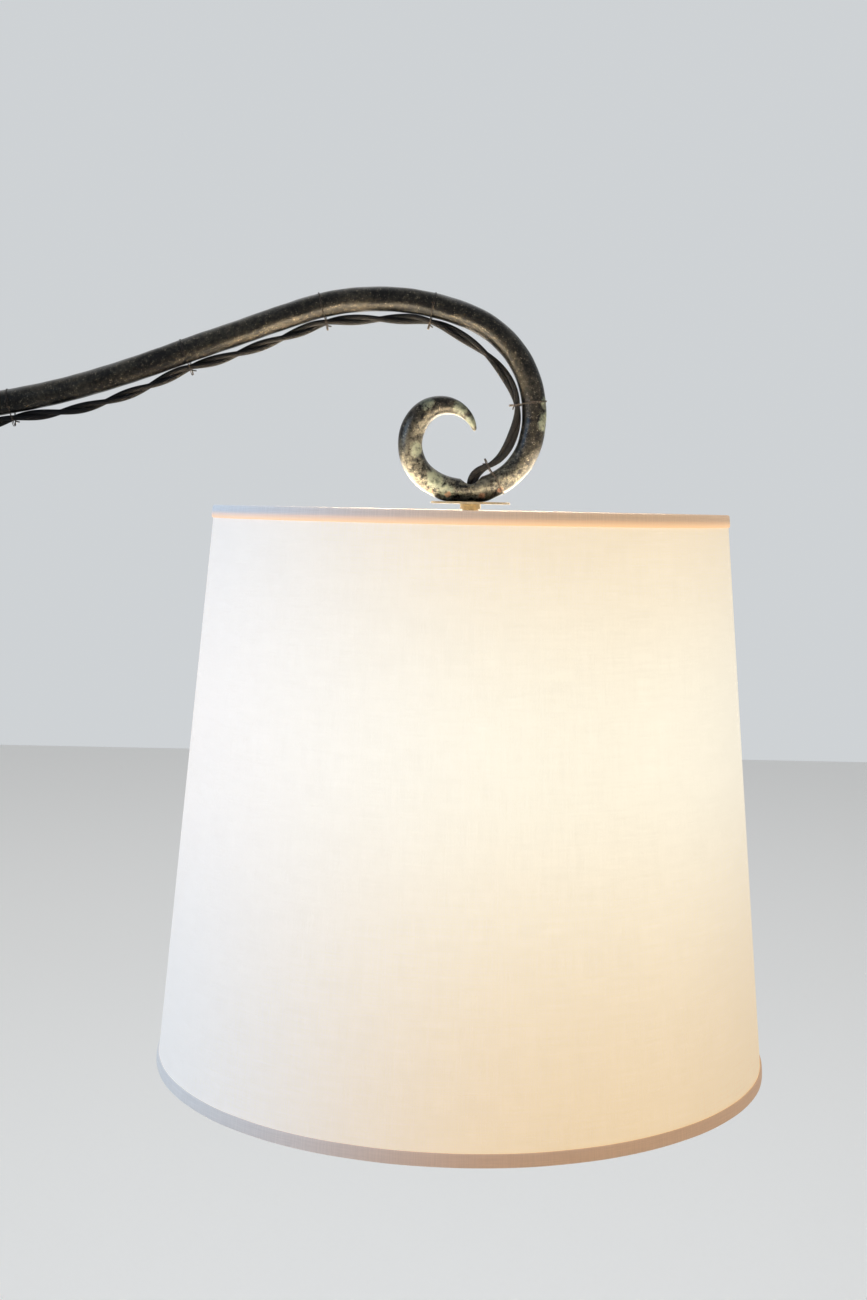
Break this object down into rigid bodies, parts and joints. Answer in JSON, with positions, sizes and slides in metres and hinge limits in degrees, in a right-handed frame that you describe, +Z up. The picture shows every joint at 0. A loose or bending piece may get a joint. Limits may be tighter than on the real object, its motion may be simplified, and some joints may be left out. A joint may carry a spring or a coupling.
{
  "type": "floor lamp",
  "caption": "Bridge floor lamp: heavy round base, upright, and a swivelling arm of dark round bar that ends in a scroll with a linen shade hung below it.",
  "frame": {"origin": "middle of the base's felt, on the floor, under the upright", "axes": "+Z up along the upright, +X along the arm towards the shade, +Y towards the cord's way out of the base"},
  "size_m": [0.7039, 0.4383, 1.4575],
  "materials": {
    "dark_iron": "dark patinated, waxed, with worn warm highlights",
    "base_iron": "dark patinated",
    "ballast": "bare casting",
    "cover_steel": "bare sheet",
    "felt": "pressed felt",
    "steel": "zinc plated",
    "brass": "lacquered",
    "aged_brass": "dull, slightly toned",
    "cord_cloth": "braided cloth cover, twisted pair",
    "tie_wire": "dark annealed wire",
    "rubber": "matte",
    "plug_plastic": "moulded",
    "strap": "woven strap",
    "paper_liner": "fibre",
    "phenolic": "moulded",
    "lead_cover": "smooth",
    "bulb_metal": "rolled thread",
    "bulb_glass": "frosted",
    "stem_glass": "clear",
    "filament": "glowing",
    "ring_paint": "white coated wire",
    "backing": "translucent sheet",
    "linen": "plain weave linen",
    "trim": "folded linen tape"
  },
  "bodies": {
    "stand": {"base_casting": "base_iron", "felt_pad": "felt", "base_cover": "cover_steel", "base_weight": "ballast", "base_screws": "steel", "foot_washer": "steel", "foot_nut": "steel", "base_collar": "dark_iron", "upright": "dark_iron", "rest_collar": "dark_iron", "grub_screw": "steel", "swivel_washer": "brass", "top_washer": "aged_brass", "finial": "dark_iron", "cord_bush": "rubber", "strain_relief": "rubber", "upright_ties": "tie_wire", "upright_cord": "cord_cloth", "swivel_cord": "cord_cloth", "floor_cord": "cord_cloth", "cord_coil": "cord_cloth", "coil_tie": "strap", "cord_end": "cord_cloth", "plug_body": "plug_plastic", "plug_blades": "brass"},
    "arm": {"arm_hub": "dark_iron", "arm_bar": "dark_iron", "arm_cord": "cord_cloth", "arm_ties": "tie_wire", "nipple": "brass", "shade_disc": "aged_brass", "nipple_nut": "brass", "fitter_nut": "brass", "fitter_washer": "steel", "socket_cap": "aged_brass", "socket_shell": "aged_brass", "socket_liner": "paper_liner", "socket_block": "phenolic", "screw_shell": "brass", "centre_contact": "brass", "terminal_screws": "brass", "lead_wires": "lead_cover", "bulb_cap": "bulb_metal", "bulb_pin": "bulb_metal", "bulb_glass": "bulb_glass", "bulb_stem": "stem_glass", "bulb_filament": "filament"},
    "pad": {"brake_pad": "brass"},
    "screw": {"thumbscrew": "dark_iron"},
    "switch": {"switch_stem": "brass", "switch_knob": "phenolic"},
    "shade": {"spider_ring": "ring_paint", "spider_spokes": "ring_paint", "top_ring": "ring_paint", "bottom_ring": "ring_paint", "shade_backing": "backing", "shade_linen": "linen", "top_trim": "trim", "bottom_trim": "trim"}
  },
  "joints": [
    {"name": "arm_swivel", "type": "hinge", "parent": "stand", "child": "arm", "pos_m": [0, 0, 1.3778], "axis": [0, 0, 1], "range_deg": [-90, 90], "deforming": ["swivel_cord"]},
    {"name": "pad_slide", "type": "slide", "parent": "arm", "child": "pad", "axis": [-1, 0, 0], "range_m": [0, 0.001]},
    {"name": "thumbscrew_turn", "type": "hinge", "parent": "pad", "child": "screw", "pos_m": [-0.015, 0, 1.3778], "axis": [-1, 0, 0], "range_deg": [0, 360]},
    {"name": "switch_turn", "type": "hinge", "parent": "arm", "child": "switch", "pos_m": [0.38005, -0.03, 1.2937], "axis": [0, -1, 0], "continuous": true},
    {"name": "shade_turn", "type": "hinge", "parent": "arm", "child": "shade", "pos_m": [0.38005, 0, 1.3225], "axis": [0, 0, 1], "continuous": true}
  ],
  "couplings": [
    {"joint": "thumbscrew_turn", "follows": "pad_slide", "rad_per_m": 6283.2}
  ]
}
